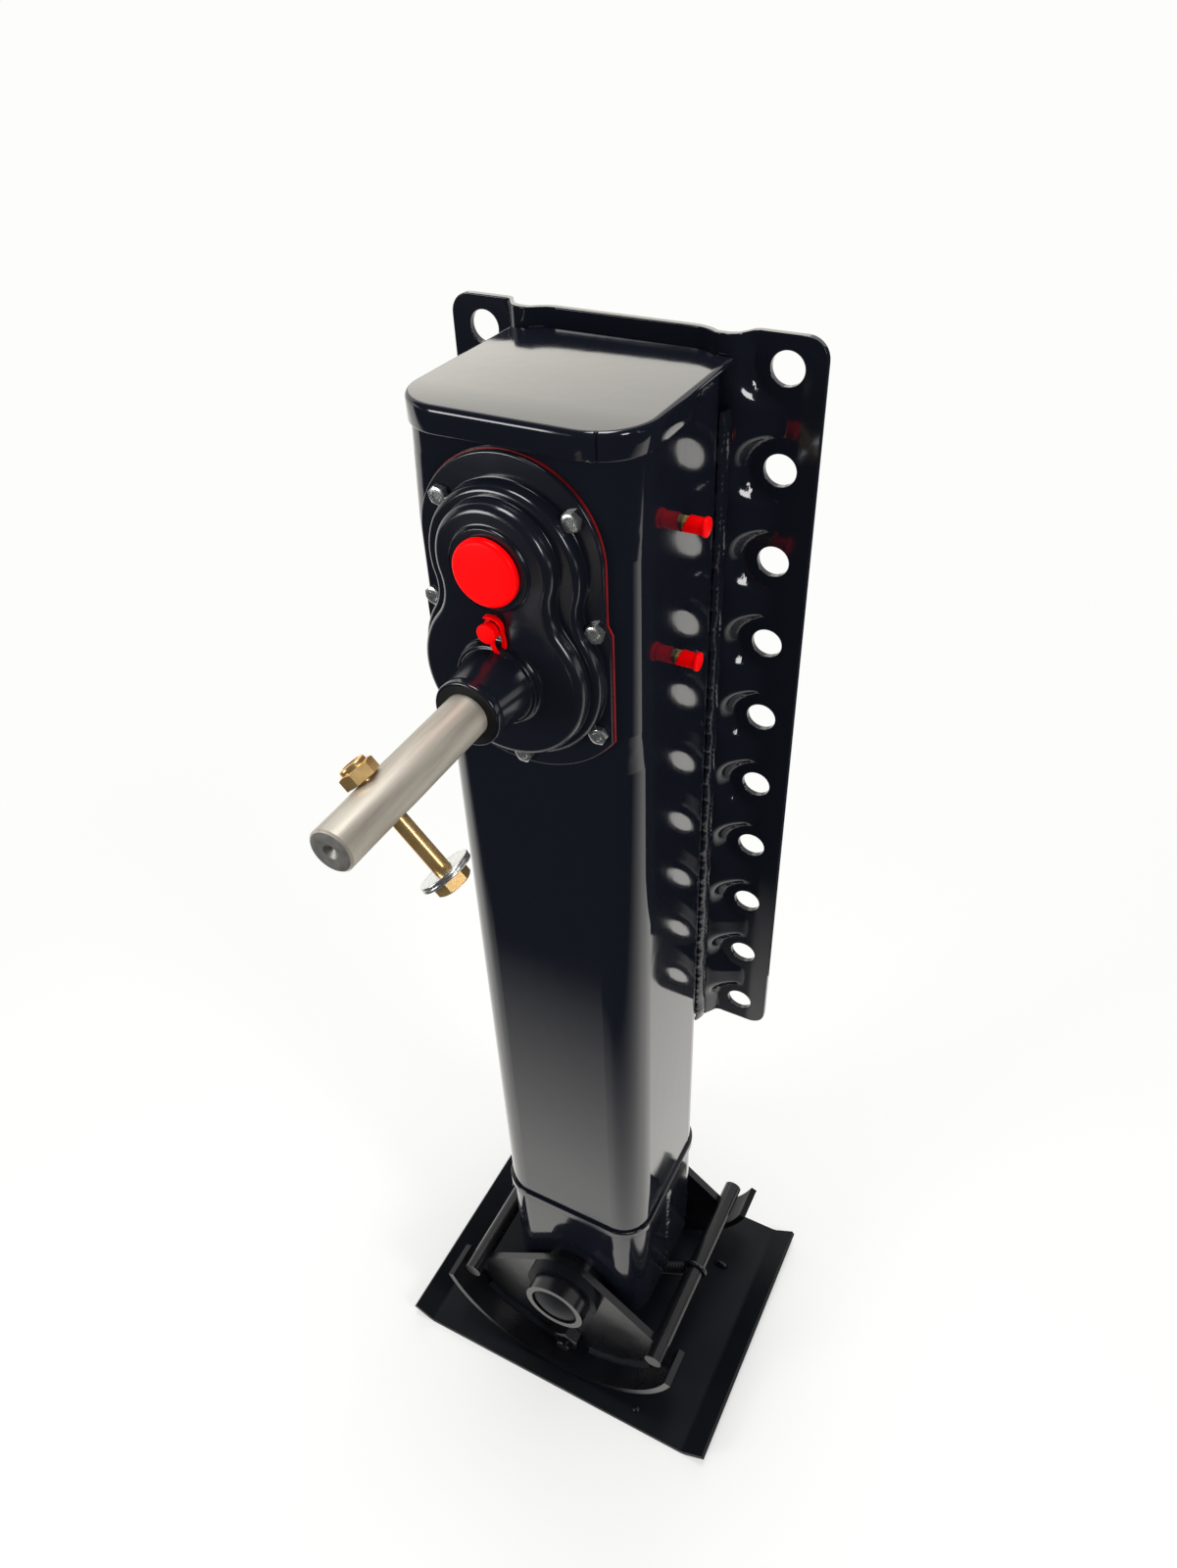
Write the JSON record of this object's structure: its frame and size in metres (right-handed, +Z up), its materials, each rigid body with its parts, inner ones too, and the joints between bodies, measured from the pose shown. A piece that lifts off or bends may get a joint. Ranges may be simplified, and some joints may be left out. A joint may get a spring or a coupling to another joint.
{
  "type": "trailer landing gear",
  "caption": "Telescopic trailer support leg with a crank gearbox at the top, a pressed mounting plate with bolt holes, and a rocker foot on a flat shoe.",
  "frame": {"origin": "on the ground under the leg's axis, in the middle of the shoe plate's underside", "axes": "+Z up along the leg, +Y towards the mounting plate and the trailer's frame, -Y the crank side"},
  "size_m": [0.276, 0.314, 0.827],
  "materials": {
    "gloss_black_paint": "gloss",
    "satin_black_paint": "satin",
    "red_plastic": "gloss",
    "red_gasket": "matte",
    "zinc_steel": "satin",
    "yellow_zinc": "satin",
    "machined_steel": "machined",
    "gear_steel": "machined",
    "bronze": "machined",
    "seal_rubber": "matte",
    "spring_steel": "satin",
    "bare_steel": "satin"
  },
  "bodies": {
    "upper_leg": {"upper_tube": "gloss_black_paint", "mounting_plate": "gloss_black_paint", "plate_welds": "gloss_black_paint", "tube_end_ring": "gloss_black_paint", "top_cover": "gloss_black_paint", "cover_gasket": "red_gasket", "gearbox_cover": "gloss_black_paint", "cover_bolts": "zinc_steel", "inspection_cap": "red_plastic", "cover_grease_nipple": "zinc_steel", "cover_nipple_cap": "red_plastic", "side_grease_nipples": "zinc_steel", "side_nipple_caps": "red_plastic", "crank_bush": "bronze", "crank_seal": "seal_rubber", "crank_bracket": "bare_steel", "output_front_bush": "bronze", "output_rear_bush": "bronze", "bearing_plate": "bare_steel", "thrust_bearing": "gear_steel"},
    "high_gear": {"high_gear_wheel": "gear_steel"},
    "crank": {"crank_shaft": "machined_steel", "crank_bolt": "yellow_zinc", "crank_nut": "yellow_zinc", "crank_washers": "zinc_steel"},
    "output": {"output_shaft": "machined_steel", "output_gear": "gear_steel", "low_gear_wheel": "gear_steel", "bevel_pinion": "gear_steel"},
    "screw": {"spindle": "machined_steel", "bevel_wheel": "gear_steel", "spindle_spacer": "bare_steel", "thrust_collar": "bare_steel", "stop_collar": "bare_steel"},
    "lower_leg": {"lower_tube": "bare_steel", "spindle_nut": "bronze", "foot_socket": "gloss_black_paint", "socket_welds": "gloss_black_paint", "axle_tube": "satin_black_paint", "axle_plugs": "satin_black_paint", "spring_anchor": "satin_black_paint"},
    "rocker": {"front_cheek": "satin_black_paint", "rear_cheek": "satin_black_paint", "front_sole": "satin_black_paint", "rear_sole": "satin_black_paint", "axle_collars": "satin_black_paint", "cross_rods": "satin_black_paint", "foot_welds": "satin_black_paint", "shoe_bolt": "satin_black_paint", "shoe_nut": "satin_black_paint", "return_springs": "spring_steel"},
    "shoe": {"base_plate": "satin_black_paint", "shoe_lugs": "satin_black_paint"}
  },
  "joints": [
    {"name": "crank_turn", "type": "hinge", "parent": "upper_leg", "child": "high_gear", "pos_m": [0, 0, 0.7], "axis": [0, 1, 0], "range_deg": [0, 13780.31]},
    {"name": "gear_shift", "type": "slide", "parent": "high_gear", "child": "crank", "axis": [0, 1, 0], "range_m": [0, 0.0087]},
    {"name": "output_turn", "type": "hinge", "parent": "upper_leg", "child": "output", "pos_m": [0, 0, 0.75875], "axis": [0, 1, 0], "range_deg": [-22201, 0]},
    {"name": "spindle_turn", "type": "hinge", "parent": "upper_leg", "child": "screw", "pos_m": [0, 0, 0.7], "axis": [0, 0, 1], "range_deg": [0, 11101]},
    {"name": "leg_extend", "type": "slide", "parent": "upper_leg", "child": "lower_leg", "axis": [0, 0, -1], "range_m": [0, 0.37]},
    {"name": "foot_tilt", "type": "hinge", "parent": "lower_leg", "child": "rocker", "pos_m": [0, 0, 0.108], "axis": [0, 1, 0], "range_deg": [-15, 15], "stiffness_Nm_per_rad": 36, "deforming": ["return_springs"]},
    {"name": "shoe_tilt", "type": "hinge", "parent": "rocker", "child": "shoe", "pos_m": [0, 0, 0.027], "axis": [0, 1, 0], "range_deg": [-7, 7]}
  ],
  "couplings": [
    {"joint": "crank_turn", "follows": "leg_extend", "rad_per_m": 649.98},
    {"joint": "output_turn", "follows": "leg_extend", "rad_per_m": -1047.2},
    {"joint": "spindle_turn", "follows": "leg_extend", "rad_per_m": 523.6}
  ]
}
